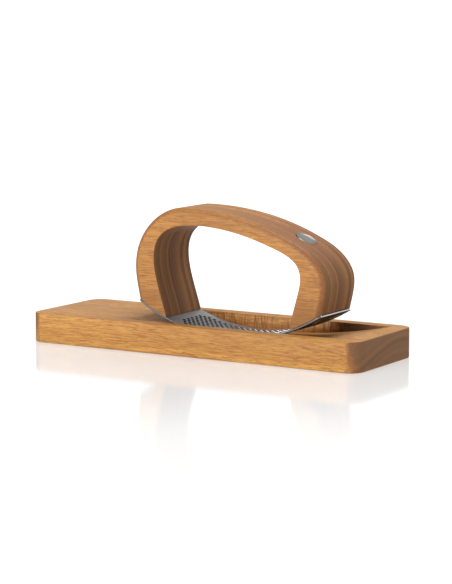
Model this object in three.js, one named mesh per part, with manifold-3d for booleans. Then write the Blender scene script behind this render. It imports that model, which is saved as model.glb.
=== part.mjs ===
// Rocking garlic press that stands in the scoop of its own wooden board.
// Millimetres, +Z up, origin at the middle of the board's underside,
// +X along the board towards the scoop, +Y across it.
import * as THREE from 'three';
import { mergeGeometries, mergeVertices } from 'three/addons/utils/BufferGeometryUtils.js';
import Module from 'manifold-3d';

const wasm = await Module();
wasm.setup();

// ---- driving dimensions ----
const BOARD_LENGTH = 264;
const BOARD_WIDTH = 86;
const BOARD_THICKNESS = 21;
const BOARD_CORNER = 11; // plan radius of the four corners
const BOARD_EDGE = 0.8; // roundover of the long arrises

const SCOOP_X = 32; // middle of the scoop, from the middle of the board
const SCOOP_LENGTH = 174;
const SCOOP_WIDTH = 65;
const SCOOP_DEPTH = 9.8;

// The press has its own origin on the lowest line of the blade's underside.
const PRESS_X = 22.2; // where it stands, from the middle of the board
const PRESS_DEPTH = 47; // across the board
const BLADE_RADIUS = 134.8; // underside of the blade
const BLADE_THICKNESS = 1.2;
const BLADE_LEFT_X = -74.2;
const BLADE_RIGHT_X = 71.8;
const BLADE_CORNER = 4;

const HOLE_RADIUS = 1.45;
const HOLE_STEP_LONG = 4.5; // repeat of the hole pattern along the arc
const HOLE_STEP_CROSS = 5.3; // repeat of the hole pattern across it
const HOLE_COLUMNS = 41; // an odd number, so both end columns are alike
const HOLES_ACROSS = 7; // in the fullest columns

const HANDLE_EDGE = 5.5; // roundover of the outer arrises
const HANDLE_PEAK_Z = 88.5;
const HANDLE_LEFT_X = -78.3;
const HANDLE_RIGHT_X = 75.1;
const OPENING_TOP_Z = 77;
const OPENING_LEFT_X = -60.8;
const OPENING_RIGHT_X = 55.7;

const SCREW_LEFT_X = -65.2;
const SCREW_RIGHT_X = 63.3;
const SCREW_SPACING = 26; // between the two screws of one foot
const SCREW_LENGTH = 12;
const SCREW_SHANK_RADIUS = 1.6;
const SCREW_HEAD_RADIUS = 3.4;
const SCREW_HEAD_HEIGHT = 2;
const SCREW_SOCKET_RADIUS = 1.4;
const SCREW_SOCKET_DEPTH = 1.1;

const BADGE_RADIUS = 7.5;
const BADGE_THICKNESS = 2;
const BADGE_PROUD = 0.6;
const BADGE_RIM = 0.9; // width of the raised rim
const BADGE_DISH = 0.35; // how far the face lies below the rim
const BADGE_ALONG = 0.9; // share of the way down the long slope of the handle

const CLEARANCE = 0.3; // between pieces that touch on the real press
const OVERSHOOT = 10; // how far a cutting body runs past what it cuts

// ---- helpers ----
function solidOf(geometry) {
  const bare = geometry.clone();
  bare.deleteAttribute('normal');
  bare.deleteAttribute('uv');
  const merged = mergeVertices(bare, 1e-4);
  return new wasm.Manifold(new wasm.Mesh({
    numProp: 3,
    vertProperties: new Float32Array(merged.attributes.position.array),
    triVerts: new Uint32Array(merged.index.array),
  }));
}

function geometryOf(solid) {
  const mesh = solid.getMesh();
  const geometry = new THREE.BufferGeometry();
  geometry.setAttribute('position', new THREE.BufferAttribute(mesh.vertProperties, 3));
  geometry.setIndex(new THREE.BufferAttribute(mesh.triVerts, 1));
  geometry.computeVertexNormals();
  return geometry;
}

// An outline drawn in X and Z, given its depth along Y and centred on Y = 0.
function acrossY(outline, depth, curveSegments, edge = 0, edgeSegments = 2) {
  const geometry = new THREE.ExtrudeGeometry(outline, {
    depth: depth - 2 * edge,
    curveSegments,
    bevelEnabled: edge > 0,
    bevelThickness: edge,
    bevelSize: edge,
    bevelOffset: -edge,
    bevelSegments: edgeSegments,
  });
  geometry.translate(0, 0, -(depth - 2 * edge) / 2);
  geometry.rotateX(Math.PI / 2);
  return geometry;
}

// A profile of [radius, height] pairs turned about +Z.
function turned(profile, segments) {
  const points = profile.map(([radius, height]) => new THREE.Vector2(radius, height));
  return new THREE.LatheGeometry(points, segments).rotateX(Math.PI / 2);
}

function roundedRectangle(length, width, corner) {
  const [a, b] = [length / 2, width / 2];
  const shape = new THREE.Shape();
  shape.moveTo(-a + corner, -b);
  shape.lineTo(a - corner, -b);
  shape.absarc(a - corner, -b + corner, corner, -Math.PI / 2, 0);
  shape.lineTo(a, b - corner);
  shape.absarc(a - corner, b - corner, corner, 0, Math.PI / 2);
  shape.lineTo(-a + corner, b);
  shape.absarc(-a + corner, b - corner, corner, Math.PI / 2, Math.PI);
  shape.lineTo(-a, -b + corner);
  shape.absarc(-a + corner, -b + corner, corner, Math.PI, 1.5 * Math.PI);
  return shape;
}

function piece(name, solid, color, roughness, metalness) {
  const material = new THREE.MeshStandardMaterial({ color, roughness, metalness });
  const mesh = new THREE.Mesh(geometryOf(solid), material);
  mesh.name = name;
  return mesh;
}

// ---- places worked out from the driving dimensions ----
const scoopRadius = ((SCOOP_LENGTH / 2) ** 2 + SCOOP_DEPTH ** 2) / (2 * SCOOP_DEPTH);
const scoopCentreZ = BOARD_THICKNESS - SCOOP_DEPTH + scoopRadius;

// The blade rocks inside the scoop, so the two arcs touch on the line
// through their centres, and the blade's centre is that much nearer.
function restingHeight() {
  const centreDistance = scoopRadius - BLADE_RADIUS - CLEARANCE;
  const across = PRESS_X - SCOOP_X;
  return scoopCentreZ - Math.sqrt(centreDistance ** 2 - across ** 2) - BLADE_RADIUS;
}

// A frame on the blade's underside, +Z towards the arc's centre.
function bladeFrame(angle) {
  const frame = new THREE.Group();
  frame.position.x = BLADE_RADIUS * Math.sin(angle);
  frame.position.z = BLADE_RADIUS * (1 - Math.cos(angle));
  frame.rotation.y = -angle;
  frame.updateMatrix();
  return frame;
}

const feet = {
  left: Math.asin(SCREW_LEFT_X / BLADE_RADIUS),
  right: Math.asin(SCREW_RIGHT_X / BLADE_RADIUS),
};
const screwSides = { front: -SCREW_SPACING / 2, back: SCREW_SPACING / 2 };

// ---- the handle's two outlines, in X and Z ----
const longSlope = new THREE.CubicBezierCurve(
  new THREE.Vector2(-39.9, HANDLE_PEAK_Z),
  new THREE.Vector2(9, HANDLE_PEAK_Z),
  new THREE.Vector2(39.8, 74.2),
  new THREE.Vector2(52, 68.4),
);

function handleOutline() {
  const { v0, v1, v2, v3 } = longSlope;
  const shape = new THREE.Shape();
  shape.moveTo(-74.5, -2);
  shape.lineTo(-74.5, 20);
  shape.bezierCurveTo(-74.5, 26.3, HANDLE_LEFT_X, 34.3, HANDLE_LEFT_X, 46.2);
  shape.bezierCurveTo(HANDLE_LEFT_X, 71.2, -57.3, v0.y, v0.x, v0.y);
  shape.bezierCurveTo(v1.x, v1.y, v2.x, v2.y, v3.x, v3.y);
  shape.bezierCurveTo(64.4, 62.5, HANDLE_RIGHT_X, 53, HANDLE_RIGHT_X, 41.3);
  shape.bezierCurveTo(HANDLE_RIGHT_X, 34.3, 72.8, 27.3, 71.5, 20.8);
  shape.lineTo(67.3, -2);
  return shape;
}

function openingOutline() {
  const shape = new THREE.Shape();
  shape.moveTo(-47.7, -6);
  shape.lineTo(-50.6, 11.3);
  shape.bezierCurveTo(-53.2, 22.3, OPENING_LEFT_X, 39.3, OPENING_LEFT_X, 52.7);
  shape.bezierCurveTo(OPENING_LEFT_X, 73.4, -43.7, OPENING_TOP_Z, -24.7, OPENING_TOP_Z);
  shape.bezierCurveTo(-10.8, OPENING_TOP_Z, 8.1, 74, 27.4, 67.5);
  shape.bezierCurveTo(46.4, 61.1, OPENING_RIGHT_X, 57.2, OPENING_RIGHT_X, 44.8);
  shape.bezierCurveTo(OPENING_RIGHT_X, 38.5, 49.6, 22.3, 47.6, 10.8);
  shape.lineTo(44.8, -6);
  return shape;
}

// ---- board ----
function makeBoard() {
  const slab = new THREE.ExtrudeGeometry(
    roundedRectangle(BOARD_LENGTH, BOARD_WIDTH, BOARD_CORNER),
    {
      depth: BOARD_THICKNESS - 2 * BOARD_EDGE,
      curveSegments: 8,
      bevelThickness: BOARD_EDGE,
      bevelSize: BOARD_EDGE,
      bevelOffset: -BOARD_EDGE,
      bevelSegments: 2,
    },
  ).translate(0, 0, BOARD_EDGE);
  const reach = Math.asin(SCOOP_LENGTH / 2 / scoopRadius) * 1.1;
  const segment = new THREE.Shape();
  segment.absarc(SCOOP_X, scoopCentreZ, scoopRadius, -Math.PI / 2 - reach, -Math.PI / 2 + reach);
  const scoop = acrossY(segment, SCOOP_WIDTH, 48);
  return solidOf(slab).subtract(solidOf(scoop));
}

// ---- blade ----
function holePattern() {
  const cutters = [];
  const lastColumn = HOLE_COLUMNS - 1;
  for (let column = 0; column <= lastColumn; column += 1) {
    const isEnd = column === 0 || column === lastColumn;
    const count = HOLES_ACROSS - (column % 2) - (isEnd ? 2 : 0);
    const along = (column - lastColumn / 2) * (HOLE_STEP_LONG / 2);
    const frame = bladeFrame(along / BLADE_RADIUS);
    for (let hole = 0; hole < count; hole += 1) {
      const cutter = new THREE.CylinderGeometry(HOLE_RADIUS, HOLE_RADIUS, 4, 6);
      cutter.rotateX(Math.PI / 2);
      cutter.translate(0, (hole - (count - 1) / 2) * HOLE_STEP_CROSS, BLADE_THICKNESS / 2);
      cutters.push(cutter.applyMatrix4(frame.matrix));
    }
  }
  return solidOf(mergeGeometries(cutters));
}

// A countersunk hole for one screw, in the frame of its foot.
function screwSeat(y, angle) {
  const head = SCREW_HEAD_RADIUS + CLEARANCE;
  const shank = SCREW_SHANK_RADIUS + CLEARANCE;
  const throat = SCREW_HEAD_HEIGHT + CLEARANCE;
  const seat = turned([
    [0, -OVERSHOOT],
    [head, -OVERSHOOT],
    [head, CLEARANCE],
    [shank, throat],
    [shank, SCREW_LENGTH + CLEARANCE],
    [0, SCREW_LENGTH + CLEARANCE + shank],
  ], 16);
  seat.translate(0, y, 0);
  return solidOf(seat.applyMatrix4(bladeFrame(angle).matrix));
}

function cutScrewSeats(solid) {
  let result = solid;
  for (const angle of Object.values(feet)) {
    for (const y of Object.values(screwSides)) {
      result = result.subtract(screwSeat(y, angle));
    }
  }
  return result;
}

function makeBlade() {
  const reach = Math.asin(-BLADE_LEFT_X / BLADE_RADIUS) * 1.05;
  const down = -Math.PI / 2;
  const innerRadius = BLADE_RADIUS - BLADE_THICKNESS;
  const band = new THREE.Shape();
  band.absarc(0, BLADE_RADIUS, BLADE_RADIUS, down - reach, down + reach);
  band.absarc(0, BLADE_RADIUS, innerRadius, down + reach, down - reach, true);
  const strip = solidOf(acrossY(band, PRESS_DEPTH + OVERSHOOT, 28));
  const plan = new THREE.ExtrudeGeometry(
    roundedRectangle(BLADE_RIGHT_X - BLADE_LEFT_X, PRESS_DEPTH, BLADE_CORNER),
    { depth: BLADE_RADIUS, curveSegments: 4, bevelEnabled: false },
  ).translate((BLADE_RIGHT_X + BLADE_LEFT_X) / 2, 0, -OVERSHOOT);
  const sheet = strip.intersect(solidOf(plan));
  return cutScrewSeats(sheet).subtract(holePattern());
}

// ---- handle ----
function badgeFrame() {
  const point = longSlope.getPoint(BADGE_ALONG);
  const tangent = longSlope.getTangent(BADGE_ALONG);
  const frame = new THREE.Group();
  frame.position.set(point.x, 0, point.y);
  frame.rotation.y = Math.atan2(-tangent.y, tangent.x);
  frame.updateMatrix();
  return frame;
}

function badgePocket() {
  const radius = BADGE_RADIUS + CLEARANCE;
  const depth = BADGE_THICKNESS - BADGE_PROUD + CLEARANCE;
  const pocket = new THREE.CylinderGeometry(radius, radius, depth + OVERSHOOT, 32);
  pocket.rotateX(Math.PI / 2);
  pocket.translate(0, 0, (OVERSHOOT - depth) / 2);
  return solidOf(pocket.applyMatrix4(badgeFrame().matrix));
}

function makeHandle() {
  const block = solidOf(acrossY(handleOutline(), PRESS_DEPTH, 14, HANDLE_EDGE, 3));
  const opening = solidOf(acrossY(openingOutline(), PRESS_DEPTH + OVERSHOOT, 14));
  const footRadius = BLADE_RADIUS - BLADE_THICKNESS - CLEARANCE;
  const rocker = new THREE.Shape();
  rocker.absarc(0, BLADE_RADIUS, footRadius, 0, 2 * Math.PI);
  const aboveBlade = solidOf(acrossY(rocker, PRESS_DEPTH + OVERSHOOT, 160));
  const arch = block.subtract(opening).intersect(aboveBlade);
  return cutScrewSeats(arch.subtract(badgePocket()));
}

// ---- badge: a plain dished disc with a raised rim ----
function makeBadge() {
  const bottom = BADGE_PROUD - BADGE_THICKNESS;
  const face = BADGE_PROUD - BADGE_DISH;
  return solidOf(turned([
    [0, bottom],
    [BADGE_RADIUS, bottom],
    [BADGE_RADIUS, face],
    [BADGE_RADIUS - BADGE_DISH, BADGE_PROUD],
    [BADGE_RADIUS - BADGE_RIM, BADGE_PROUD],
    [BADGE_RADIUS - BADGE_RIM - BADGE_DISH, face],
    [0, face],
  ], 32));
}

// ---- screw: countersunk head at z = 0, point towards +z ----
function makeScrew() {
  const body = solidOf(turned([
    [0, 0],
    [SCREW_HEAD_RADIUS, 0],
    [SCREW_HEAD_RADIUS, CLEARANCE],
    [SCREW_SHANK_RADIUS, SCREW_HEAD_HEIGHT],
    [SCREW_SHANK_RADIUS, SCREW_LENGTH - 2 * SCREW_SHANK_RADIUS],
    [0, SCREW_LENGTH],
  ], 16));
  const socket = new THREE.CylinderGeometry(
    SCREW_SOCKET_RADIUS,
    SCREW_SOCKET_RADIUS,
    2 * SCREW_SOCKET_DEPTH,
    6,
  ).rotateX(Math.PI / 2);
  return body.subtract(solidOf(socket));
}

// ---- assembly ----
const honeyWood = 0xd49b5f;
const darkWood = 0xb9804b;
const steel = 0xb8bbbd;

const garlicPress = new THREE.Group();
garlicPress.add(piece('board', makeBoard(), honeyWood, 0.6, 0));

const press = new THREE.Group();
press.position.set(PRESS_X, 0, restingHeight());
press.add(piece('handle', makeHandle(), darkWood, 0.55, 0));
press.add(piece('blade', makeBlade(), steel, 0.3, 1));

const badgeSeat = badgeFrame();
badgeSeat.add(piece('badge', makeBadge(), steel, 0.2, 1));
press.add(badgeSeat);

for (const [foot, angle] of Object.entries(feet)) {
  const frame = bladeFrame(angle);
  for (const [side, y] of Object.entries(screwSides)) {
    const screw = piece(`screw_${foot}_${side}`, makeScrew(), steel, 0.25, 1);
    screw.position.y = y;
    frame.add(screw);
  }
  press.add(frame);
}
garlicPress.add(press);

export default garlicPress;
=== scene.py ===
# %% [markdown]
# # A rocking garlic press and its board
# A wooden loop handle stands on a curved blade full of holes, and both stand in a hollow milled
# into a wooden board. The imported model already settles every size, place and motion, so this
# lesson only gives each piece a fine mesh and a finish. Everything is in metres, +Z is up, and
# the origin is the middle of the board's underside.

import math

import bmesh
import bpy
from mathutils import Matrix, Vector
from mathutils.geometry import intersect_line_sphere


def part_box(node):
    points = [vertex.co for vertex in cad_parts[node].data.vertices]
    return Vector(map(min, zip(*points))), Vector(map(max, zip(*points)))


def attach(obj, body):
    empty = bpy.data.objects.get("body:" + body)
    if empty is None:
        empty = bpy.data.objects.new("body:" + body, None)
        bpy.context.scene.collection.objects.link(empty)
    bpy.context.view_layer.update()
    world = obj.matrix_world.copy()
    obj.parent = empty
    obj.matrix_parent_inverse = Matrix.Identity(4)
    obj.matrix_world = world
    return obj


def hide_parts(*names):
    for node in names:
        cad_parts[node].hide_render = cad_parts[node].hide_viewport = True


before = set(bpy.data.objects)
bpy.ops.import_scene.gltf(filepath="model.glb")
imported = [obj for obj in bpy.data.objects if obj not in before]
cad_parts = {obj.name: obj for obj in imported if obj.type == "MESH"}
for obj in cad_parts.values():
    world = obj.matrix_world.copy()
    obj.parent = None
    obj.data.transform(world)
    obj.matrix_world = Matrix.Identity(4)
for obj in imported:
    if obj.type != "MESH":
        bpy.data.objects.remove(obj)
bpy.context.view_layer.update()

# %% [markdown]
# ## Sizes that come from the frame
# The blade is a part of a circle seen from the front. Its lowest line is the press's own origin,
# and the circle's radius follows from how far one end has risen: for a rise h at a distance x,
# the radius is (x² + h²) / 2h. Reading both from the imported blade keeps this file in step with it.

# %% Read the blade's arc
MM = 0.001


def lowest_line(node):
    """The x and z of the lowest line of a node that is curved about Y."""
    points = [v.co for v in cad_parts[node].data.vertices]
    low = min(p.z for p in points)
    bottom = [p.x for p in points if p.z < low + 0.01 * MM]
    return Vector(((min(bottom) + max(bottom)) / 2, 0, low))


def underside_radius(node, origin):
    """The radius of a node's curved underside, from the lowest corner of its left end."""
    points = [v.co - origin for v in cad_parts[node].data.vertices]
    left = min(p.x for p in points)
    corner = min((p for p in points if p.x < left + 0.01 * MM), key=lambda p: p.z)
    return (corner.x ** 2 + corner.z ** 2) / (2 * corner.z)


board_low, board_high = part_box("board")
blade_low, blade_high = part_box("blade")
press = lowest_line("blade")
BLADE_RADIUS = underside_radius("blade", press)
BLADE_THICKNESS = 1.2 * MM
PRESS_DEPTH = blade_high.y - blade_low.y
CLEARANCE = 0.3 * MM
ARC_CENTRE = Vector((0, 0, BLADE_RADIUS))
print(f"press stands at x {press.x:.4f}, z {press.z:.4f}, blade radius {BLADE_RADIUS:.4f}")

# %% [markdown]
# ## Camera
# A long lens from far away, a little above the board and to the right of its front, so that the
# long sides stay almost parallel. It points a little above the middle of the board.

# %% Set up the camera
CAMERA_LENS = 133.6
CAMERA_DISTANCE = 1.5252
CAMERA_TURN = math.radians(30.84)
CAMERA_DOWN = math.radians(7.92)
CAMERA_ROLL = math.radians(0.1)
CAMERA_AIM = Vector((0.0016, 0.0078, 0.0394))


def make_camera():
    data = bpy.data.cameras.new("camera")
    data.lens = CAMERA_LENS
    data.clip_start = 0.05
    data.clip_end = 50
    camera = bpy.data.objects.new("camera", data)
    pan = Matrix.Rotation(CAMERA_TURN, 3, "Z") @ Matrix.Rotation(math.pi / 2 - CAMERA_DOWN, 3, "X")
    turned = pan @ Matrix.Rotation(CAMERA_ROLL, 3, "Z")
    camera.rotation_euler = turned.to_euler()
    camera.location = CAMERA_AIM + turned @ Vector((0, 0, CAMERA_DISTANCE))
    bpy.context.scene.collection.objects.link(camera)
    bpy.context.scene.camera = camera
    return camera


print("camera at", tuple(round(c, 3) for c in make_camera().location))

# %% [markdown]
# ## Floor and light
# The press stands on a glossy white table in a white studio. The table is lit so brightly that it
# shows as plain white, except where it mirrors the board. A smooth plane with a glow of its own
# does that, and the glow grows with the distance, so that the mirror image fades out. The sky is
# white round the horizon and dimmer above. One large soft lamp in front gives the wood its
# direction, and a smaller one overhead brightens the tops. The picture is shown without film-like
# tone mapping, so that white stays white.

# %% Make the table
def add_node(tree, kind, inputs=None, **settings):
    """Adds a shader node. An input is given a value, or linked where it is given a socket."""
    node = tree.nodes.new(kind)
    for key, value in settings.items():
        setattr(node, key, value)
    for key, value in (inputs or {}).items():
        if isinstance(value, bpy.types.NodeSocket):
            tree.links.new(value, node.inputs[key])
        else:
            node.inputs[key].default_value = value
    return node


def principled(name):
    """A new material with one Principled shader, and its node tree."""
    material = bpy.data.materials.new(name)
    material.use_nodes = True
    return material, material.node_tree, material.node_tree.nodes["Principled BSDF"]


def mix_colours(tree, factor, a, b):
    """From colour a at factor 0 to colour b at factor 1. Each is a value or a socket."""
    node = add_node(tree, "ShaderNodeMix", {"Factor": factor}, data_type="RGBA")
    colour_inputs = [socket for socket in node.inputs if socket.type == "RGBA"]
    for socket, colour in zip(colour_inputs, (a, b)):
        if isinstance(colour, bpy.types.NodeSocket):
            tree.links.new(colour, socket)
        else:
            socket.default_value = (*colour, 1)
    return next(socket for socket in node.outputs if socket.type == "RGBA")


def smooth_range(tree, value, low, high):
    """0 below low, 1 above high, and a soft step between."""
    return add_node(tree, "ShaderNodeMapRange", {
        "Value": value, "From Min": low, "From Max": high,
    }, interpolation_type="SMOOTHSTEP").outputs["Result"]


NEAR_GLOW = (0.425, 0.43, 0.43)
FAR_GLOW = (0.65, 0.66, 0.66)
GLOW_GROWS_FROM = 0.12
GLOW_GROWS_TO = 0.34


def make_floor():
    bm = bmesh.new()
    bmesh.ops.create_grid(bm, x_segments=1, y_segments=1, size=6)
    mesh = bpy.data.meshes.new("table_top")
    bm.to_mesh(mesh)
    bm.free()
    floor = bpy.data.objects.new("table_top", mesh)
    material, tree, shader = principled("white_gloss")
    shader.inputs["Base Color"].default_value = (0.36, 0.36, 0.36, 1)
    shader.inputs["Roughness"].default_value = 0.1
    shader.inputs["Emission Strength"].default_value = 1
    place = add_node(tree, "ShaderNodeTexCoord").outputs["Object"]
    away = add_node(tree, "ShaderNodeVectorMath", {0: place}, operation="LENGTH").outputs["Value"]
    growth = smooth_range(tree, away, GLOW_GROWS_FROM, GLOW_GROWS_TO)
    glow = mix_colours(tree, growth, NEAR_GLOW, FAR_GLOW)
    tree.links.new(glow, shader.inputs["Emission Color"])
    mesh.materials.append(material)
    bpy.context.scene.collection.objects.link(floor)
    return floor


print("table:", make_floor().name)


# %% Light the studio
def make_world(horizon, overhead):
    """A sky that is bright round the horizon and dimmer from a third of the way up."""
    world = bpy.data.worlds.new("white_studio")
    world.use_nodes = True
    tree = world.node_tree
    direction = add_node(tree, "ShaderNodeTexCoord").outputs["Generated"]
    height = add_node(tree, "ShaderNodeSeparateXYZ", {0: direction}).outputs["Z"]
    strength = add_node(tree, "ShaderNodeMapRange", {
        "Value": height, "From Min": 0.12, "From Max": 0.45, "To Min": horizon, "To Max": overhead,
    }, interpolation_type="SMOOTHSTEP")
    background = tree.nodes["Background"]
    background.inputs["Color"].default_value = (1, 1, 1, 1)
    tree.links.new(strength.outputs["Result"], background.inputs["Strength"])
    bpy.context.scene.world = world


def add_softbox(name, place, size, power):
    data = bpy.data.lights.new(name, "AREA")
    data.shape = "DISK"
    data.size = size
    data.energy = power
    lamp = bpy.data.objects.new(name, data)
    lamp.location = place
    lamp.rotation_euler = (Vector((0, 0, 0.03)) - lamp.location).to_track_quat("-Z", "Y").to_euler()
    bpy.context.scene.collection.objects.link(lamp)


make_world(horizon=1.02, overhead=0.38)
add_softbox("key_softbox", Vector((-0.7, -3.0, 1.6)), size=3.2, power=92)
add_softbox("top_softbox", Vector((0.3, 0.6, 1.7)), size=1.4, power=21)
bpy.context.scene.view_settings.view_transform = "Standard"

# %% [markdown]
# ## Turning a bmesh into a piece
# Every piece ends the same way: its normals are made to agree, it is shaded smooth with sharp
# edges kept where two faces meet at a real corner, it gets its materials, it is told which
# part of the model it rides on, and the plain nodes that it stands for are hidden.

# %% Finish a piece
PRESS_BODY = "press"
BOARD_BODY = "board"


def finish_piece(bm, name, body, nodes, materials, sharp_angle=32):
    bmesh.ops.recalc_face_normals(bm, faces=bm.faces)
    mesh = bpy.data.meshes.new(name)
    bm.to_mesh(mesh)
    bm.free()
    mesh.shade_smooth()
    mesh.set_sharp_from_angle(angle=math.radians(sharp_angle))
    for material in materials:
        mesh.materials.append(material)
    piece = bpy.data.objects.new(name, mesh)
    bpy.context.scene.collection.objects.link(piece)
    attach(piece, body)
    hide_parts(*nodes)
    print(f"{name}: {len(mesh.polygons)} faces")
    return piece


def moved_verts(result):
    """The vertices among what an operator made."""
    return [item for item in result["geom"] if isinstance(item, bmesh.types.BMVert)]


def with_edges(faces):
    """The faces and their edges, so that an extrusion takes the faces along."""
    return list({item for face in faces for item in (face, *face.edges)})


# %% [markdown]
# ## Wood as a solid
# Wood isn't a picture wrapped round a shape: the rings, fibres and pores run through the block,
# and every cut shows them differently. So the pattern is a function of the place in space. Rings
# are the distance from a pith line that runs along X, bent by slow noise, and whole layers of years
# are darker or paler. Fibres and pores are noise drawn out along X: long streaks on a side, small
# dots where a face cuts across them. End Grain says how far a face turns towards X. Soak lets the
# oil creep further in one direction, and Dryness holds it back. The group gives out masks only, and
# each kind of wood mixes its own colours from them.

# %% Build the wood figure group
def new_group(name, inputs, outputs):
    """An empty shader group with named float or vector sockets."""
    tree = bpy.data.node_groups.new(name, "ShaderNodeTree")
    for socket_name, kind, value in inputs:
        socket = tree.interface.new_socket(socket_name, in_out="INPUT", socket_type=kind)
        socket.default_value = value
    for socket_name in outputs:
        tree.interface.new_socket(socket_name, in_out="OUTPUT", socket_type="NodeSocketFloat")
    return tree, tree.nodes.new("NodeGroupInput").outputs, tree.nodes.new("NodeGroupOutput").inputs


def math_node(tree, operation, a, b=0.0, c=0.0):
    return add_node(tree, "ShaderNodeMath", {0: a, 1: b, 2: c}, operation=operation).outputs[0]


def vector_node(tree, operation, a, b):
    return add_node(tree, "ShaderNodeVectorMath", {0: a, 1: b}, operation=operation).outputs[0]


def drawn_out_noise(tree, place, along, across, detail=3.0, roughness=0.55):
    """Noise with so many features per metre along the grain and across it."""
    scaled = vector_node(tree, "MULTIPLY", place, (along, across, across))
    noise = add_node(tree, "ShaderNodeTexNoise", {
        "Vector": scaled, "Scale": 1.0, "Detail": detail, "Roughness": roughness,
    })
    return noise.outputs["Fac"]


def bare_noise(tree, place, detail):
    """Noise on coordinates that are already scaled."""
    return add_node(tree, "ShaderNodeTexNoise", {"Vector": place, "Scale": 1.0, "Detail": detail})


def noise_by_depth(tree, depth, per_metre, detail):
    """Noise that changes only with the distance from the pith."""
    return add_node(tree, "ShaderNodeTexNoise", {"W": depth, "Scale": per_metre, "Detail": detail},
                    noise_dimensions="1D").outputs["Fac"]


def build_wood_figure():
    tree, given, result = new_group("wood_figure", [
        ("Pith", "NodeSocketVector", (0, -0.1, 0)),
        ("Ring Width", "NodeSocketFloat", 0.003),
        ("Waviness", "NodeSocketFloat", 0.012),
        ("Soak", "NodeSocketVector", (0, 0, 0)),
        ("Dryness", "NodeSocketFloat", 0.0),
    ], ["Rings", "Layers", "Bands", "Fibres", "Flecks", "Pores", "End Grain"])
    coords = add_node(tree, "ShaderNodeTexCoord")
    place = coords.outputs["Object"]

    wander = bare_noise(tree, vector_node(tree, "MULTIPLY", place, (6, 16, 16)), 1.5)
    centred = vector_node(tree, "SUBTRACT", wander.outputs["Color"], (0.5, 0.5, 0.5))
    bend = add_node(tree, "ShaderNodeVectorMath", {0: centred, "Scale": given["Waviness"]},
                    operation="SCALE")
    bent = vector_node(tree, "ADD", place, bend.outputs[0])
    from_pith = vector_node(tree, "SUBTRACT", bent, given["Pith"])
    across = vector_node(tree, "MULTIPLY", from_pith, (0, 1, 1))
    depth = add_node(tree, "ShaderNodeVectorMath", {0: across}, operation="LENGTH").outputs["Value"]
    count = math_node(tree, "DIVIDE", depth, given["Ring Width"])
    count = math_node(tree, "MULTIPLY_ADD", noise_by_depth(tree, depth, 160.0, 1.0), 1.6, count)
    year = math_node(tree, "FRACT", count)
    summer, winter = smooth_range(tree, year, 0.3, 0.88), smooth_range(tree, year, 0.9, 1.0)
    ring = math_node(tree, "SUBTRACT", summer, winter)
    fatness = add_node(tree, "ShaderNodeTexWhiteNoise", {"W": math_node(tree, "FLOOR", count)},
                       noise_dimensions="1D").outputs["Value"]
    strength = math_node(tree, "MULTIPLY_ADD", fatness, 0.8, 0.2)
    tree.links.new(math_node(tree, "MULTIPLY", ring, strength), result["Rings"])

    layers = noise_by_depth(tree, depth, 130.0, 2.5)
    tree.links.new(smooth_range(tree, layers, 0.36, 0.64), result["Layers"])
    bands = drawn_out_noise(tree, bent, 4, 110, detail=2.0)
    tree.links.new(smooth_range(tree, bands, 0.36, 0.66), result["Bands"])
    fibres = drawn_out_noise(tree, bent, 60, 1300, detail=3.5, roughness=0.7)
    tree.links.new(smooth_range(tree, fibres, 0.38, 0.66), result["Fibres"])
    flecks = drawn_out_noise(tree, bent, 110, 1500, detail=1.5)
    tree.links.new(smooth_range(tree, flecks, 0.55, 0.66), result["Flecks"])
    pores = drawn_out_noise(tree, bent, 220, 2800, detail=1.0)
    tree.links.new(smooth_range(tree, pores, 0.62, 0.7), result["Pores"])

    facing = add_node(tree, "ShaderNodeSeparateXYZ", {0: coords.outputs["Normal"]}).outputs["X"]
    soaked = add_node(tree, "ShaderNodeVectorMath", {0: place, 1: given["Soak"]},
                      operation="DOT_PRODUCT")
    blotch = drawn_out_noise(tree, place, 45, 45, detail=3.0)
    blotch = math_node(tree, "MULTIPLY_ADD", blotch, 0.5, -0.25)
    uneven = math_node(tree, "ADD", blotch, soaked.outputs["Value"])
    uneven = math_node(tree, "SUBTRACT", uneven, given["Dryness"])
    turned_away = math_node(tree, "ABSOLUTE", facing)
    beyond_a_slope = smooth_range(tree, turned_away, 0.22, 0.5)
    soft = math_node(tree, "MULTIPLY_ADD", uneven, beyond_a_slope, turned_away)
    tree.links.new(soft, result["End Grain"])
    return tree


wood_figure = build_wood_figure()
print("group:", wood_figure.name, [s.name for s in wood_figure.interface.items_tree])
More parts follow.
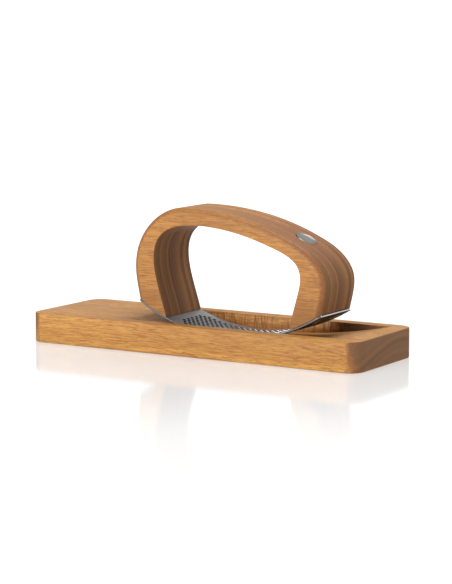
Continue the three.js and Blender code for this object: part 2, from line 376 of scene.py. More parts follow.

# %% [markdown]
# ## Finishes for the wood
# Oil soaks into cut fibre ends and turns them dark brown, while the long sides stay honey
# coloured. The colour therefore follows how far the surface turns towards X, with a reddish brown
# in between. The relief is tiny: pores are pressed in, fibres and rings are barely felt. The walls
# of the hollow are milled, not planed, so they get a copy of the board's wood with upright cutter
# marks, and a painted shadow: a near-black stretch towards the hollow's right end, where the press's
# right foot and blade wing shade the walls.

# %% Mix the wood finishes
def wood_finish(name, colours, figure, rings, layers, bands, flecks):
    """Oiled wood: five colours, the values for the figure group, and how strongly each mask shows."""
    light, dark, turning, end, late_end = colours
    material, tree, shader = principled(name)
    wood = add_node(tree, "ShaderNodeGroup", node_tree=wood_figure)
    for socket_name, value in figure.items():
        wood.inputs[socket_name].default_value = value
    masks = wood.outputs
    side = mix_colours(tree, math_node(tree, "MULTIPLY", masks["Rings"], rings * 0.75), light, dark)
    side = mix_colours(tree, math_node(tree, "MULTIPLY", masks["Layers"], layers * 1.4), side, dark)
    side = mix_colours(tree, math_node(tree, "MULTIPLY", masks["Bands"], bands), side, dark)
    side = mix_colours(tree, math_node(tree, "MULTIPLY", masks["Fibres"], 0.7), side, dark)
    side = mix_colours(tree, math_node(tree, "MULTIPLY", masks["Flecks"], flecks), side, dark)
    side = mix_colours(tree, math_node(tree, "MULTIPLY", masks["Pores"], 0.4), side, turning)
    ends = mix_colours(tree, math_node(tree, "MULTIPLY", masks["Rings"], rings), end, late_end)
    pale = math_node(tree, "MULTIPLY_ADD", masks["Layers"], -0.6 * layers, 0.6 * layers)
    ends = mix_colours(tree, pale, ends, light)
    cut_fibre = tuple(c * 0.6 for c in end)
    ends = mix_colours(tree, math_node(tree, "MULTIPLY", masks["Fibres"], 0.35), ends, cut_fibre)
    leaning = smooth_range(tree, masks["End Grain"], 0.08, 0.5)
    square_on = smooth_range(tree, masks["End Grain"], 0.45, 0.88)
    colour = mix_colours(tree, leaning, side, mix_colours(tree, 0.62, side, turning))
    colour = mix_colours(tree, square_on, colour, ends)
    tree.links.new(colour, shader.inputs["Base Color"])

    rough = math_node(tree, "MULTIPLY_ADD", masks["Fibres"], 0.12, 0.46)
    rough = math_node(tree, "MULTIPLY_ADD", square_on, 0.3, rough)
    tree.links.new(rough, shader.inputs["Roughness"])
    shader.inputs["Specular IOR Level"].default_value = 0.44
    raised = math_node(tree, "MULTIPLY", masks["Fibres"], 0.5)
    pressed = math_node(tree, "MULTIPLY_ADD", masks["Pores"], -0.8, raised)
    height = math_node(tree, "MULTIPLY_ADD", masks["Rings"], 0.3, pressed)
    bump = add_node(tree, "ShaderNodeBump", {"Height": height, "Strength": 0.4, "Distance": 0.12 * MM})
    tree.links.new(bump.outputs[0], shader.inputs["Normal"])
    return material


# Where along the board the painted shadow of the press on the hollow's walls fades in and fades out.
PAINTED_SHADOW_STARTS = (0.074, 0.094)
PAINTED_SHADOW_ENDS = (0.105, 0.135)


def add_tool_marks_and_painted_shadow(material):
    """Short upright burn and chatter marks, as a cutter leaves on the wall of a hollow, and a painted
    shadow of the press towards the hollow's right end.
    """
    tree = material.node_tree
    shader = tree.nodes["Principled BSDF"]
    place = add_node(tree, "ShaderNodeTexCoord").outputs["Object"]
    marks = bare_noise(tree, vector_node(tree, "MULTIPLY", place, (1100, 60, 90)), 2.5).outputs["Fac"]
    patches = smooth_range(tree, drawn_out_noise(tree, place, 45, 60), 0.28, 0.5)
    scorched = math_node(tree, "MULTIPLY", smooth_range(tree, marks, 0.42, 0.6), patches)
    wood = shader.inputs["Base Color"].links[0].from_socket
    marked = mix_colours(tree, math_node(tree, "MULTIPLY", scorched, 0.8), wood, CHAR)
    # Painted shadow: the walls turn near black from about 74 mm to 135 mm along the board, with a
    # ragged edge, where the press's right foot and blade wing shade them.
    along = add_node(tree, "ShaderNodeSeparateXYZ", {0: place}).outputs["X"]
    ragged = math_node(tree, "MULTIPLY_ADD", marks, 0.02, along)
    shadow_begins = smooth_range(tree, ragged, *PAINTED_SHADOW_STARTS)
    shadow_fades = smooth_range(tree, ragged, *PAINTED_SHADOW_ENDS)
    in_painted_shadow = math_node(tree, "SUBTRACT", shadow_begins, shadow_fades)
    painted_shadow_wood = mix_colours(tree, math_node(tree, "MULTIPLY", in_painted_shadow, 0.85), marked, PAINTED_SHADOW_COLOUR)
    tree.links.new(painted_shadow_wood, shader.inputs["Base Color"])
    return material


# The near black of the painted shadow on the hollow's walls.
PAINTED_SHADOW_COLOUR = (0.045, 0.018, 0.007)
CHAR = (0.16, 0.06, 0.016)
HONEY = (0.66, 0.335, 0.072)
HONEY_STREAK = (0.31, 0.112, 0.02)
RUST = (0.20, 0.062, 0.018)
UMBER = (0.215, 0.10, 0.042)
DARK_UMBER = (0.105, 0.048, 0.022)
AMBER = (0.165, 0.07, 0.028)
CHESTNUT = (0.64, 0.292, 0.062)
CHESTNUT_STREAK = (0.25, 0.095, 0.022)

BOARD_COLOURS = (HONEY, HONEY_STREAK, RUST, UMBER, DARK_UMBER)
BOARD_FIGURE = {
    "Pith": (0, 0.02, -0.12), "Ring Width": 5.4 * MM, "Waviness": 12 * MM,
    "Soak": (0, 0, 42), "Dryness": 0.3,
}
BOARD_MASKS = dict(rings=0.6, layers=0.12, bands=0.35, flecks=0.8)
HANDLE_COLOURS = (CHESTNUT, CHESTNUT_STREAK, RUST, AMBER, DARK_UMBER)
HANDLE_FIGURE = {"Pith": (0.02, -0.5965, 0.045), "Ring Width": 5.5 * MM, "Waviness": 6 * MM}

board_wood = wood_finish("board_wood", BOARD_COLOURS, BOARD_FIGURE, **BOARD_MASKS)
# The hollow's walls: milled wood with cutter marks and a painted shadow of the press.
milled_wood_painted_shadow = add_tool_marks_and_painted_shadow(wood_finish("milled_wood_painted_shadow", BOARD_COLOURS, BOARD_FIGURE, **BOARD_MASKS))
handle_wood = wood_finish("handle_wood", HANDLE_COLOURS, HANDLE_FIGURE,
                          rings=0.75, layers=0.5, bands=0.36, flecks=0.7)
print("wood finishes:", [m.name for m in (board_wood, milled_wood_painted_shadow, handle_wood)])

# %% [markdown]
# ## Board
# A planed board with rounded corners and one long hollow. It starts as a box: the four upright
# edges are bevelled to the corner radius, then the rims above and below get a small roundover. The
# hollow is drawn on the top face with knife cuts, pressed down as one region, and its floor is set
# on a circle, so it runs out to nothing at both ends.

# %% Shape the board
CORNER = 11 * MM
ARRIS = 0.8 * MM
SCOOP_ARRIS = 0.4 * MM
SCOOP_X = 32 * MM
SCOOP_LENGTH = 174 * MM
SCOOP_WIDTH = 65 * MM
SCOOP_DEPTH = 9.8 * MM
SCOOP_RADIUS = ((SCOOP_LENGTH / 2) ** 2 + SCOOP_DEPTH ** 2) / (2 * SCOOP_DEPTH)


def scoop_floor(x):
    """Height of the hollow's floor at a place along the board."""
    rise = SCOOP_RADIUS - math.sqrt(SCOOP_RADIUS ** 2 - (x - SCOOP_X) ** 2)
    return board_high.z - SCOOP_DEPTH + rise


def cut_faces(bm, faces, point, normal):
    """Cuts only the given faces with a plane, and returns all the faces that they become."""
    geometry = list({item for f in faces for item in (f, *f.edges, *f.verts)})
    result = bmesh.ops.bisect_plane(bm, geom=geometry, plane_co=point, plane_no=normal)
    return [item for item in result["geom"] if isinstance(item, bmesh.types.BMFace)]


def block_with_round_corners(low, high, corner, arris, corner_steps, arris_steps):
    bm = bmesh.new()
    place = Matrix.Translation((low + high) / 2) @ Matrix.Diagonal((*(high - low), 1))
    bmesh.ops.create_cube(bm, size=1, matrix=place)
    uprights = [e for e in bm.edges if abs(e.verts[0].co.z - e.verts[1].co.z) > arris]
    bmesh.ops.bevel(bm, geom=uprights, offset=corner, segments=corner_steps, profile=0.5,
                    affect="EDGES", material=-1)
    rims = [e for e in bm.edges if abs(e.verts[0].co.z - e.verts[1].co.z) < arris]
    bmesh.ops.bevel(bm, geom=rims, offset=arris, segments=arris_steps, profile=0.5,
                    affect="EDGES", material=-1)
    return bm


def press_scoop(bm):
    top = [max(bm.faces, key=lambda f: (f.calc_center_median().z, f.calc_area()))]
    for side in (-1, 1):
        top = cut_faces(bm, top, (0, side * SCOOP_WIDTH / 2, 0), (0, 1, 0))
    strip = [f for f in top if abs(f.calc_center_median().y) < SCOOP_WIDTH / 2]
    steps = 72
    for i in range(steps + 1):
        x = SCOOP_X + SCOOP_LENGTH * (i / steps - 0.5)
        strip = cut_faces(bm, strip, (x, 0, 0), (1, 0, 0))
    hollow = [f for f in strip if abs(f.calc_center_median().x - SCOOP_X) < SCOOP_LENGTH / 2]
    sunk = moved_verts(bmesh.ops.extrude_face_region(bm, geom=with_edges(hollow)))
    for vert in sunk:
        vert.co.z = scoop_floor(vert.co.x)
    bmesh.ops.remove_doubles(bm, verts=bm.verts, dist=0.002 * MM)


def scoop_walls(bm):
    return [f for f in bm.faces if abs(f.normal.y) > 0.9
            and abs(abs(f.calc_center_median().y) - SCOOP_WIDTH / 2) < 0.1 * MM]


def soften_scoop_edges(bm):
    """A small roundover where the hollow's side walls meet the top."""
    edges = [e for wall in scoop_walls(bm) for e in wall.edges
             if all(v.co.z > board_high.z - 0.01 * MM for v in e.verts)
             and scoop_floor(e.verts[0].co.x) < board_high.z - 1.2 * MM]
    bmesh.ops.bevel(bm, geom=list(set(edges)), offset=SCOOP_ARRIS, segments=2, profile=0.5,
                    affect="EDGES", material=-1)


def make_board():
    bm = block_with_round_corners(board_low, board_high, CORNER, ARRIS, 14, 3)
    press_scoop(bm)
    bmesh.ops.recalc_face_normals(bm, faces=bm.faces)
    for wall in scoop_walls(bm):
        wall.material_index = 1
    soften_scoop_edges(bm)
    return finish_piece(bm, "board_body", BOARD_BODY, ["board"],
                        [board_wood, milled_wood_painted_shadow])


make_board()

# %% [markdown]
# ## Handle
# One block of wood, sawn to a lopsided arch and rounded over on the outside, where the palm lies.
# Its front is two smooth outlines, drawn as Bézier curves from the press's own origin. Both are
# trimmed where they meet the circle of the blade, cut into the same number of steps, bridged to a
# band, and pulled back to full depth. Bevels then round the outer arrises well and the inner ones
# only a little.

# %% Draw the two outlines
HANDLE_STEPS = 110


def on_curve(a, b, c, d, t):
    """The point at share t of a cubic curve from a to d, with handles b and c."""
    return a * (1 - t) ** 3 + b * 3 * t * (1 - t) ** 2 + c * 3 * t * t * (1 - t) + d * t ** 3


def bezier_chain(start, *curves, steps=40):
    """Points along joined cubic curves, each given by two handles and its end, in millimetres."""
    points = [Vector(start)]
    for curve in curves:
        corners = [points[-1].copy(), *(Vector(p) for p in curve)]
        points += [on_curve(*corners, i / steps) for i in range(1, steps + 1)]
    return [Vector((p.x * MM, 0, p.y * MM)) for p in points]


def straight(start, end):
    """A straight stretch, written as a curve like the others."""
    start, end = Vector(start), Vector(end)
    return start.lerp(end, 1 / 3), start.lerp(end, 2 / 3), end


PEAK = (-39.9, 88.5)
LONG_SLOPE = ((9, 88.5), (39.8, 74.2), (52, 68.4))
outer_outline = bezier_chain(
    (-74.5, -2),
    straight((-74.5, -2), (-74.5, 20)),
    ((-74.5, 26.3), (-78.3, 34.3), (-78.3, 46.2)),
    ((-78.3, 71.2), (-57.3, 88.5), PEAK),
    LONG_SLOPE,
    ((64.4, 62.5), (75.1, 53), (75.1, 41.3)),
    ((75.1, 34.3), (72.8, 27.3), (71.5, 20.8)),
    straight((71.5, 20.8), (67.3, -2)),
)
inner_outline = bezier_chain(
    (-47.7, -6),
    straight((-47.7, -6), (-50.6, 11.3)),
    ((-53.2, 22.3), (-60.8, 39.3), (-60.8, 52.7)),
    ((-60.8, 73.4), (-43.7, 77), (-24.7, 77)),
    ((-10.8, 77), (8.1, 74), (27.4, 67.5)),
    ((46.4, 61.1), (55.7, 57.2), (55.7, 44.8)),
    ((55.7, 38.5), (49.6, 22.3), (47.6, 10.8)),
    straight((47.6, 10.8), (44.8, -6)),
)
print("outline points:", len(outer_outline), len(inner_outline))


# %% Trim the outlines to the blade and even out their steps
FOOT_RADIUS = BLADE_RADIUS - BLADE_THICKNESS - CLEARANCE


def trimmed(points):
    """The stretch of an outline inside the blade's circle, with its ends on the circle."""
    inside = [i for i, p in enumerate(points) if (p - ARC_CENTRE).length < FOOT_RADIUS]
    first, last = inside[0], inside[-1]
    ends = []
    for kept, dropped in ((first, first - 1), (last, last + 1)):
        crossings = intersect_line_sphere(points[kept], points[dropped], ARC_CENTRE, FOOT_RADIUS)
        ends.append(next(c for c in crossings if c is not None))
    return [ends[0], *points[first:last + 1], ends[1]]


def evenly(points, steps):
    """The same line, in equal steps along its length."""
    lengths = [(b - a).length for a, b in zip(points, points[1:])]
    step = sum(lengths) / steps
    result, travelled, index = [points[0]], 0.0, 0
    for i in range(1, steps):
        while travelled + lengths[index] < i * step:
            travelled += lengths[index]
            index += 1
        share = (i * step - travelled) / lengths[index]
        result.append(points[index].lerp(points[index + 1], share))
    return [*result, points[-1]]


outer_line = evenly(trimmed(outer_outline), HANDLE_STEPS)
inner_line = evenly(trimmed(inner_outline), HANDLE_STEPS)
print("arch height above the blade:", round(max(p.z for p in outer_line), 4))


# %% Build the arch
OUTER_EDGE = 5.5 * MM
INNER_EDGE = 0.8 * MM


def chain_edges(bm, points, y):
    verts = [bm.verts.new((p.x, y, p.z)) for p in points]
    return [bm.edges.new(pair) for pair in zip(verts, verts[1:])]


def edges_along(bm, points):
    """The front and back edges of the arch that run along an outline."""
    ends = {(round(p.x, 6), round(p.z, 6)) for p in points}
    on_line = {v for v in bm.verts if (round(v.co.x, 6), round(v.co.z, 6)) in ends}
    return [e for e in bm.edges if set(e.verts) <= on_line
            and abs(e.verts[0].co.y - e.verts[1].co.y) < MM]


def round_feet(bm):
    """Lays the underside of both feet on the blade's circle."""
    soles = [f for f in bm.faces if abs(f.calc_center_median().y) < MM and f.normal.z < -0.7
             and f.calc_center_median().z < 40 * MM]
    for sole in soles:
        xs = [v.co.x for v in sole.verts]
        pieces = [sole]
        for i in range(1, 8):
            x = min(xs) + (max(xs) - min(xs)) * i / 8
            pieces = cut_faces(bm, pieces, (x, 0, 0), (1, 0, 0))
        for vert in {v for f in pieces for v in f.verts}:
            vert.co.z = BLADE_RADIUS - math.sqrt(FOOT_RADIUS ** 2 - vert.co.x ** 2)


def build_arch():
    bm = bmesh.new()
    front = [e for line in (outer_line, inner_line) for e in chain_edges(bm, line, -PRESS_DEPTH / 2)]
    bmesh.ops.bridge_loops(bm, edges=front)
    pulled = moved_verts(bmesh.ops.extrude_face_region(bm, geom=list(bm.faces)))
    bmesh.ops.translate(bm, verts=pulled, vec=(0, PRESS_DEPTH, 0))
    bmesh.ops.recalc_face_normals(bm, faces=bm.faces)
    outer, inner = edges_along(bm, outer_line), edges_along(bm, inner_line)
    bmesh.ops.bevel(bm, geom=inner, offset=INNER_EDGE, segments=2, profile=0.5,
                    affect="EDGES", material=-1)
    outer = [e for e in outer if e.is_valid]
    bmesh.ops.bevel(bm, geom=outer, offset=OUTER_EDGE, segments=7, profile=0.5,
                    affect="EDGES", material=-1)
    round_feet(bm)
    return bm


arch = build_arch()
print("arch faces:", len(arch.faces))

# %% [markdown]
# ## Seats in the handle
# The badge sits in a shallow round pocket, and four screws run up into the feet. Drilling is a
# cut, so this uses a Boolean modifier with one mesh of cutters: a plain cylinder for the pocket,
# and for each screw a cone for the head with a hole for the shank. The modifier's result is then
# kept as the mesh, because later steps work on real faces. Last, a Weighted Normal modifier lets
# the large flat faces lead the shading, so that the roundover doesn't smear into them.

# %% Find the seats
BADGE_RADIUS = 7.5 * MM
BADGE_THICKNESS = 2 * MM
BADGE_PROUD = 0.6 * MM
SCREW_HEAD_RADIUS = 3.4 * MM
SCREW_SHANK_RADIUS = 1.6 * MM
SCREW_HEAD_HEIGHT = 2 * MM
SCREW_LENGTH = 12 * MM
SCREW_SPACING = 26 * MM
SCREW_PLACES = {"left": -65.2 * MM, "right": 63.3 * MM}


def badge_frame():
    """Sits on the long slope, +Z out of the wood, nine tenths of the way down the curve."""
    t = 0.9
    a, b, c, d = (Vector(p) for p in (PEAK, *LONG_SLOPE))
    point = on_curve(a, b, c, d, t)
    slope = (b - a) * (1 - t) ** 2 + (c - b) * 2 * t * (1 - t) + (d - c) * t * t
    turn = Matrix.Rotation(math.atan2(-slope.y, slope.x), 4, "Y")
    return Matrix.Translation((point.x * MM, 0, point.y * MM)) @ turn


def blade_frame(x):
    """Sits on the blade's underside at a place along the press, +Z towards the arc's centre."""
    angle = math.asin(x / BLADE_RADIUS)
    rise = BLADE_RADIUS * (1 - math.cos(angle))
    return Matrix.Translation((x, 0, rise)) @ Matrix.Rotation(-angle, 4, "Y")


screw_frames = {
    f"screw_{foot}_{side}": blade_frame(x) @ Matrix.Translation((0, y, 0))
    for foot, x in SCREW_PLACES.items()
    for side, y in (("front", -SCREW_SPACING / 2), ("back", SCREW_SPACING / 2))
}
print("screws:", list(screw_frames))


# %% Drill the handle
def spin_profile(bm, profile, steps, place):
    """Turns a line of (radius, height) points about Z into a closed skin, then puts it in place."""
    verts = [bm.verts.new((r, 0, h)) for r, h in profile]
    edges = [bm.edges.new(pair) for pair in zip(verts, verts[1:])]
    before = set(bm.verts) - set(verts)
    bmesh.ops.spin(bm, geom=verts + edges, cent=(0, 0, 0), axis=(0, 0, 1), angle=math.tau,
                   steps=steps, use_merge=True)
    made = [v for v in bm.verts if v not in before]
    bmesh.ops.remove_doubles(bm, verts=made, dist=0.001 * MM)
    made = [v for v in bm.verts if v not in before]
    bmesh.ops.transform(bm, matrix=place, verts=made)


def drill_cutters():
    bm = bmesh.new()
    pocket = BADGE_RADIUS + CLEARANCE
    floor = BADGE_PROUD - BADGE_THICKNESS - CLEARANCE
    outside = 6 * MM
    spin_profile(bm, [(0, floor), (pocket, floor), (pocket, outside), (0, outside)], 64, badge_frame())
    head, shank = SCREW_HEAD_RADIUS + CLEARANCE, SCREW_SHANK_RADIUS + CLEARANCE
    for place in screw_frames.values():
        spin_profile(bm, [
            (0, -outside), (head, -outside), (head, CLEARANCE), (shank, SCREW_HEAD_HEIGHT + CLEARANCE),
            (shank, SCREW_LENGTH + CLEARANCE), (0, SCREW_LENGTH + CLEARANCE + shank),
        ], 32, place)
    bmesh.ops.recalc_face_normals(bm, faces=bm.faces)
    return bm


def temporary_object(bm, name):
    mesh = bpy.data.meshes.new(name)
    bm.to_mesh(mesh)
    bm.free()
    made = bpy.data.objects.new(name, mesh)
    bpy.context.scene.collection.objects.link(made)
    return made


def cut_with(bm, cutters):
    """bm minus cutters, as a new bmesh."""
    body, tool = temporary_object(bm, "body"), temporary_object(cutters, "tool")
    cut = body.modifiers.new("drill", "BOOLEAN")
    cut.operation = "DIFFERENCE"
    cut.solver = "EXACT"
    cut.object = tool
    graph = bpy.context.evaluated_depsgraph_get()
    result = bmesh.new()
    result.from_object(body, graph)
    for used in (body, tool):
        data = used.data
        bpy.data.objects.remove(used)
        bpy.data.meshes.remove(data)
    return result


def make_handle():
    drilled = cut_with(arch, drill_cutters())
    bmesh.ops.translate(drilled, verts=drilled.verts, vec=press)
    handle = finish_piece(drilled, "handle_arch", PRESS_BODY, ["handle"],
                          [handle_wood], 40)
    handle.modifiers.new("flat_faces_lead", "WEIGHTED_NORMAL").keep_sharp = True


make_handle()

# %% [markdown]
# ## Steel finishes
# The blade is satin stainless sheet, brushed along its length: fine streaks in its roughness and
# relief spread each highlight across the brushing. Tools leave other marks, so it has three more
# finishes, two of them with painted light: torn, and painted near black as shade, in the punched
# holes and below; grey along the sheared sides; and ground, and painted pale as a highlight, at the
# ends. The badge and the screws are plain steel with an even, fine grain.

# %% Mix the steel finishes
def steel_finish(name, colour, roughness, streaks, spread, relief):
    """Steel with fine marks: streaks per metre along and across, their spread and their depth."""
    material, tree, shader = principled(name)
    place = add_node(tree, "ShaderNodeTexCoord").outputs["Object"]
    marks = bare_noise(tree, vector_node(tree, "MULTIPLY", place, streaks), 3.0).outputs["Fac"]
    handled = add_node(tree, "ShaderNodeTexNoise", {"Vector": place, "Scale": 60.0})
    rough = math_node(tree, "MULTIPLY_ADD", marks, spread, roughness - spread / 2)
    rough = math_node(tree, "MULTIPLY_ADD", handled.outputs["Fac"], 0.08, rough)
    tree.links.new(rough, shader.inputs["Roughness"])
    darker = tuple(c * 0.82 for c in colour)
    tree.links.new(mix_colours(tree, marks, darker, colour), shader.inputs["Base Color"])
    bump = add_node(tree, "ShaderNodeBump", {"Height": marks, "Strength": 0.3, "Distance": relief})
    tree.links.new(bump.outputs[0], shader.inputs["Normal"])
    shader.inputs["Metallic"].default_value = 1
    return material


EVEN = (900, 900, 900)
SHEARED = (300, 300, 1500)
blade_steel = steel_finish("blade_steel", (0.40, 0.405, 0.41), 0.3, (60, 2600, 2600), 0.18, 0.02 * MM)
# Painted shade: torn steel coloured near black for the hole walls and the underside, where shade
# falls.
punched_steel_painted_shade = steel_finish("punched_steel_painted_shade", (0.06, 0.058, 0.055), 0.45, EVEN, 0.2, 0.03 * MM)
sheared_steel = steel_finish("sheared_steel", (0.22, 0.22, 0.22), 0.5, SHEARED, 0.2, 0.03 * MM)
# Painted highlight: the ground ends are made far paler than the sheet so that they read as a bright
# highlight. Their lower roughness is real.
ground_steel_painted_highlight = steel_finish("ground_steel_painted_highlight", (0.85, 0.85, 0.86), 0.2, SHEARED, 0.1, 0.01 * MM)
badge_steel = steel_finish("badge_steel", (0.33, 0.32, 0.30), 0.36, EVEN, 0.08, 0.01 * MM)
screw_steel = steel_finish("screw_steel", (0.62, 0.62, 0.63), 0.24, (700, 700, 700), 0.1, 0.01 * MM)
BLADE_STEELS = [blade_steel, punched_steel_painted_shade, sheared_steel, ground_steel_painted_highlight]
print("steel finishes:", [m.name for m in (*BLADE_STEELS, badge_steel, screw_steel)])

# %% [markdown]
# ## Blade
# A stainless sheet is punched flat and rolled afterwards, and the mesh is made in the same order.
# One cell of the pattern, a six-sided tile with a round hole, is copied over the field and welded.
# The plain margins are filled between the field and the sheet's outline, and the sheet is given its
# thickness and its edges a fine bevel. Each face then gets the finish that its tool left, with
# painted light in two: punched, and painted dark as shade, in the holes and below; sheared along the
# sides; trimmed and ground, and painted pale as a highlight, at the ends. Only then is every vertex
# rolled onto the circle.

# %% One cell of the hole pattern
HOLE_RADIUS = 1.45 * MM
STEP_LONG = 4.5 * MM
STEP_CROSS = 5.3 * MM
HOLE_COLUMNS = 41
HOLES_ACROSS = 7


def cell_corners():
    """The six corners of the ground that is nearer to one hole than to any other."""
    a, b = STEP_LONG / 2, STEP_CROSS / 2
    reach = (a * a + b * b) / (2 * b)
    side = reach - a * a / b
    return [(a, -side), (a, side), (0, reach), (-a, side), (-a, -side), (0, -reach)]


def ring_of_edges(bm, points):
    verts = [bm.verts.new((x, y, 0)) for x, y in points]
    return [bm.edges.new((a, b)) for a, b in zip(verts, verts[1:] + verts[:1])]


def split_sides(corners, counts):
    """Corner points with each side cut into so many steps."""
    points = []
    for (x0, y0), (x1, y1), count in zip(corners, corners[1:] + corners[:1], counts):
        points += [(x0 + (x1 - x0) * i / count, y0 + (y1 - y0) * i / count) for i in range(count)]
    return points


def make_cell():
    bm = bmesh.new()
    outline = split_sides(cell_corners(), (2, 3, 3, 2, 3, 3))
    turns = [math.atan2(y, x) for x, y in outline]
    circle = [(HOLE_RADIUS * math.cos(t), HOLE_RADIUS * math.sin(t)) for t in turns]
    bmesh.ops.bridge_loops(bm, edges=ring_of_edges(bm, outline) + ring_of_edges(bm, circle))
    return bm


cell = make_cell()
print("faces in one cell:", len(cell.faces))


# %% Lay the field of holes
def hole_places():
    for column in range(HOLE_COLUMNS):
        at_end = column in (0, HOLE_COLUMNS - 1)
        count = HOLES_ACROSS - column % 2 - (2 if at_end else 0)
        along = (column - (HOLE_COLUMNS - 1) / 2) * STEP_LONG / 2
        for i in range(count):
            yield along, (i - (count - 1) / 2) * STEP_CROSS


def lay_field():
    source = bpy.data.meshes.new("cell")
    cell.to_mesh(source)
    cell.free()
    bm = bmesh.new()
    for along, across in hole_places():
        before = len(bm.verts)
        bm.from_mesh(source)
        bm.verts.ensure_lookup_table()
        bmesh.ops.translate(bm, verts=bm.verts[before:], vec=(along, across, 0))
    bpy.data.meshes.remove(source)
    bmesh.ops.remove_doubles(bm, verts=bm.verts, dist=0.01 * MM)
    return bm


sheet = lay_field()
print("holes:", len(list(hole_places())), " faces in the field:", len(sheet.faces))

# %% Fill the margins
BLADE_CORNER = 4 * MM
MARGIN_STEP = 2.25 * MM
flat_left = BLADE_RADIUS * math.asin((blade_low.x - press.x) / BLADE_RADIUS)
flat_right = BLADE_RADIUS * math.asin((blade_high.x - press.x) / BLADE_RADIUS)


def rounded_outline(left, right, half_width, corner, step):
    """Points round a rectangle with round corners, in nearly equal steps."""
    points = []
    rectangle = (right, half_width), (left, half_width), (left, -half_width), (right, -half_width)
    for (x, y), turn in zip(rectangle, (0, 90, 180, 270)):
        centre = Vector((x - math.copysign(corner, x), y - math.copysign(corner, y)))
        for i in range(7):
            angle = math.radians(turn + 15 * i)
            points.append(centre + corner * Vector((math.cos(angle), math.sin(angle))))
    outline = []
    for a, b in zip(points, points[1:] + points[:1]):
        count = max(1, round((b - a).length / step))
        outline += [tuple(a.lerp(b, i / count)) for i in range(count)]
    return outline


def circle_points(x, y, radius, steps=24):
    return [(x + radius * math.cos(math.tau * i / steps), y + radius * math.sin(math.tau * i / steps))
            for i in range(steps)]


SCREW_THROAT = 2.9 * MM
screw_flat_x = [BLADE_RADIUS * math.asin(x / BLADE_RADIUS) for x in SCREW_PLACES.values()]
hole_centres = list(hole_places())


def near_hole(point):
    return min(math.hypot(point.x - x, point.y - y) for x, y in hole_centres) < HOLE_RADIUS * 1.05


def fill_margins(bm):
    rim = [e for e in bm.edges if e.is_boundary and not near_hole(e.verts[0].co)]
    outline = rounded_outline(flat_left, flat_right, PRESS_DEPTH / 2, BLADE_CORNER, MARGIN_STEP)
    rim += ring_of_edges(bm, outline)
    for x in screw_flat_x:
        for y in (-SCREW_SPACING / 2, SCREW_SPACING / 2):
            rim += ring_of_edges(bm, circle_points(x, y, SCREW_THROAT))
    made = bmesh.ops.triangle_fill(bm, use_beauty=True, edges=rim, normal=(0, 0, 1))
    margins = [item for item in made["geom"] if isinstance(item, bmesh.types.BMFace)]
    field_end = hole_centres[-1][0] + STEP_LONG / 2
    for left, right in ((flat_left, -field_end), (field_end, flat_right)):
        count = round((right - left) / MARGIN_STEP)
        for i in range(1, count):
            x = left + (right - left) * i / count
            margins = cut_faces(bm, margins, (x, 0, 0), (1, 0, 0))


fill_margins(sheet)
print("faces in the flat sheet:", len(sheet.faces))


# %% Give the sheet its thickness and roll it
SEAT_FLARE = 1.27
HOLE_ARRIS = 0.16 * MM
SHEET_ARRIS = 0.22 * MM


def thicken(bm):
    lifted = moved_verts(bmesh.ops.extrude_face_region(bm, geom=list(bm.faces)))
    bmesh.ops.translate(bm, verts=lifted, vec=(0, 0, BLADE_THICKNESS))
    bmesh.ops.recalc_face_normals(bm, faces=bm.faces)


def widen_screw_seats(bm):
    """Opens the lower rims of the screw holes, so that the heads sit flush."""
    for x in screw_flat_x:
        for y in (-SCREW_SPACING / 2, SCREW_SPACING / 2):
            centre = Vector((x, y, 0))
            low = [v for v in bm.verts
                   if v.co.z < 0.1 * MM and (v.co - centre).length < SCREW_THROAT * 1.02]
            bmesh.ops.scale(bm, vec=(SEAT_FLARE, SEAT_FLARE, 1), verts=low,
                            space=Matrix.Translation(-centre))


def bevel_rims(bm):
    """Rolls the punched rims on top and breaks the sheet's outer edges."""
    def sharp(edge):
        return edge.is_manifold and edge.calc_face_angle() > math.radians(60)
    top = [e for e in bm.edges if sharp(e) and min(v.co.z for v in e.verts) > BLADE_THICKNESS / 2
           and near_hole(e.verts[0].co)]
    border = [e for e in bm.edges if sharp(e) and abs(e.verts[0].co.z - e.verts[1].co.z) < 0.1 * MM
              and not near_hole(e.verts[0].co)]
    bmesh.ops.bevel(bm, geom=top, offset=HOLE_ARRIS, segments=1, profile=0.5,
                    affect="EDGES", material=-1)
    border = [e for e in border if e.is_valid]
    bmesh.ops.bevel(bm, geom=border, offset=SHEET_ARRIS, segments=2, profile=0.5,
                    affect="EDGES", material=-1)


def set_finishes_and_painted_light(bm):
    """Torn hole walls and underside: second material, painted dark as shade. Cut long edges: third.
    Ground ends: fourth, painted pale as a highlight.
    """
    for face in bm.faces:
        in_hole = abs(face.normal.z) < 0.3 and near_hole(face.calc_center_median())
        if in_hole or face.normal.z < -0.9:
            face.material_index = 1
        elif abs(face.normal.y) > 0.5:
            face.material_index = 2
        elif abs(face.normal.x) > 0.5:
            face.material_index = 3


def roll(bm):
    for vert in bm.verts:
        angle = vert.co.x / BLADE_RADIUS
        radius = BLADE_RADIUS - vert.co.z
        vert.co.x = press.x + radius * math.sin(angle)
        vert.co.z = press.z + BLADE_RADIUS - radius * math.cos(angle)


def make_blade():
    thicken(sheet)
    widen_screw_seats(sheet)
    bevel_rims(sheet)
    set_finishes_and_painted_light(sheet)
    roll(sheet)
    return finish_piece(sheet, "blade_sheet", PRESS_BODY, ["blade"],
                        BLADE_STEELS, 35)


make_blade()

# %% [markdown]
# ## Badge
# A turned disc: a raised rim round a slightly dished face, left plain. It is a profile spun about
# its axis.

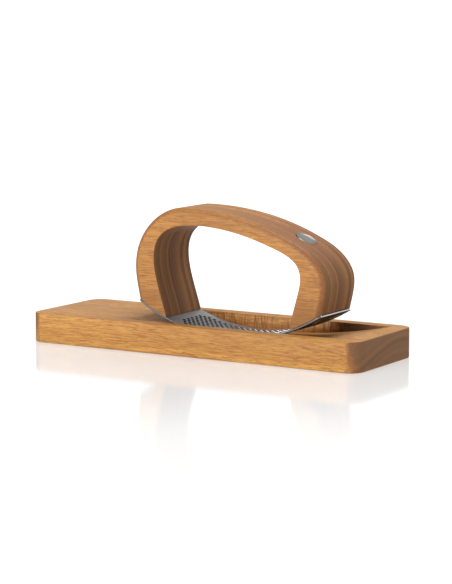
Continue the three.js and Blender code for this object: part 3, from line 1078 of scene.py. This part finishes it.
# %% Turn the badge
def make_badge():
    bm = bmesh.new()
    bottom = BADGE_PROUD - BADGE_THICKNESS
    rim, edge, dish = 0.9 * MM, 0.25 * MM, 0.35 * MM
    face = BADGE_PROUD - dish
    spin_profile(bm, [
        (0, bottom), (BADGE_RADIUS, bottom), (BADGE_RADIUS, face),
        (BADGE_RADIUS - edge * 0.3, face + edge * 0.7),
        (BADGE_RADIUS - edge, BADGE_PROUD), (BADGE_RADIUS - rim, BADGE_PROUD),
        (BADGE_RADIUS - rim - dish * 0.7, face + dish * 0.35),
        (BADGE_RADIUS - rim - dish * 1.6, face),
        (BADGE_RADIUS * 0.5, face - 0.06 * MM), (0, face - 0.08 * MM),
    ], 72, Matrix.Translation(press) @ badge_frame())
    return finish_piece(bm, "badge_disc", PRESS_BODY, ["badge"], [badge_steel], 45)


make_badge()

# %% [markdown]
# ## Screws
# Four countersunk screws hold the blade from below. Each is a spun profile. Its hexagonal socket is
# bridged to the ring of the head, pressed in and closed.

# %% Turn the screws
SOCKET_RADIUS = 1.4 * MM
SOCKET_DEPTH = 1.1 * MM
HEAD_ARRIS = 0.15 * MM
TIP_RADIUS = 0.3 * MM


def make_screw(name, place):
    bm = bmesh.new()
    corners = circle_points(0, 0, SOCKET_RADIUS, 6)
    hexagon = ring_of_edges(bm, split_sides(corners, (4,) * 6))
    rim = ring_of_edges(bm, circle_points(0, 0, SCREW_HEAD_RADIUS - HEAD_ARRIS))
    bmesh.ops.bridge_loops(bm, edges=hexagon + rim)
    floor = moved_verts(bmesh.ops.extrude_edge_only(bm, edges=hexagon))
    bmesh.ops.translate(bm, verts=floor, vec=(0, 0, SOCKET_DEPTH))
    bmesh.ops.contextual_create(bm, geom=[e for e in bm.edges if set(e.verts) <= set(floor)])
    skin = rim
    shank = SCREW_SHANK_RADIUS
    profile = (
        (SCREW_HEAD_RADIUS, HEAD_ARRIS), (SCREW_HEAD_RADIUS, CLEARANCE), (shank, SCREW_HEAD_HEIGHT),
        (shank, SCREW_LENGTH - 2 * shank), (TIP_RADIUS, SCREW_LENGTH),
    )
    for radius, height in profile:
        made = bmesh.ops.extrude_edge_only(bm, edges=skin)
        verts = moved_verts(made)
        skin = [item for item in made["geom"] if isinstance(item, bmesh.types.BMEdge)
                and set(item.verts) <= set(verts)]
        reach = verts[0].co.xy.length
        bmesh.ops.scale(bm, vec=(radius / reach, radius / reach, 1), verts=verts)
        bmesh.ops.translate(bm, verts=verts, vec=(0, 0, height - verts[0].co.z))
    bmesh.ops.contextual_create(bm, geom=skin)
    bmesh.ops.transform(bm, matrix=Matrix.Translation(press) @ place, verts=bm.verts)
    return finish_piece(bm, f"{name}_turned", PRESS_BODY, [name], [screw_steel], 35)


for screw_name, screw_place in screw_frames.items():
    make_screw(screw_name, screw_place)
